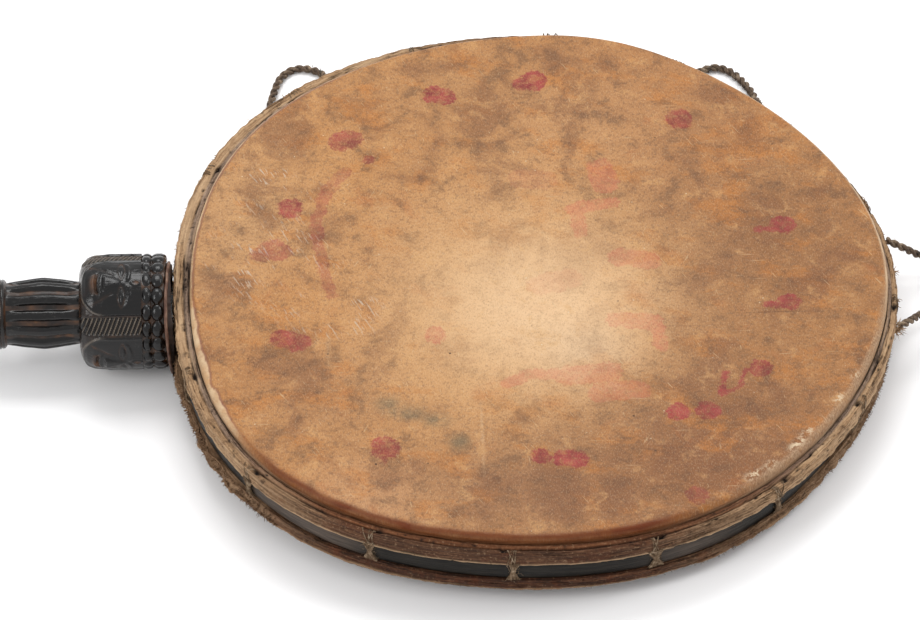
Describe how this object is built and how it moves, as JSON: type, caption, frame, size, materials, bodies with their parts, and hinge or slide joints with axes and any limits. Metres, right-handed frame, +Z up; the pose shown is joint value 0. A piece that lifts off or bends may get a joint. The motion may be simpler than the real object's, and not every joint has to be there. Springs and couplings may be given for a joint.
{
  "type": "ceremonial ritual drum",
  "caption": "Two-skinned round frame drum lying flat, with laced hoops, twisted cord loops and a carved wooden handle ending in a tapering blade.",
  "frame": {"origin": "on the surface the drum lies on, under the middle of the object's box without its cords", "axes": "+Z up; the handle points along -X; the drum lies tilted by 1.7 degrees, lower at its +X edge"},
  "size_m": [0.7772, 0.4422, 0.0686],
  "materials": {
    "head_skin": "worn, mottled, satin",
    "hairy_skin": "matt, with a ragged edge",
    "frame_wood": "dark, smoked",
    "hoop_hide": "dry, fibrous",
    "lacing_fibre": "frayed",
    "carved_wood": "polished by handling",
    "collar_hide": "dry",
    "cord_fibre": "twisted, matt"
  },
  "bodies": {
    "root": {"upper_skin": "head_skin", "lower_skin": "hairy_skin", "frame": "frame_wood", "upper_hoop": "hoop_hide", "lower_hoop": "hoop_hide", "handle": "carved_wood", "collar": "collar_hide", "tie_01": "lacing_fibre", "tie_02": "lacing_fibre", "tie_03": "lacing_fibre", "tie_04": "lacing_fibre", "tie_05": "lacing_fibre", "tie_06": "lacing_fibre", "tie_07": "lacing_fibre", "tie_08": "lacing_fibre", "tie_09": "lacing_fibre", "tie_10": "lacing_fibre", "tie_11": "lacing_fibre", "tie_12": "lacing_fibre", "tie_13": "lacing_fibre", "tie_14": "lacing_fibre", "tie_15": "lacing_fibre", "cord_loop_end": "cord_fibre", "cord_loop_back_left": "cord_fibre", "cord_loop_back_right": "cord_fibre"}
  },
  "joints": []
}
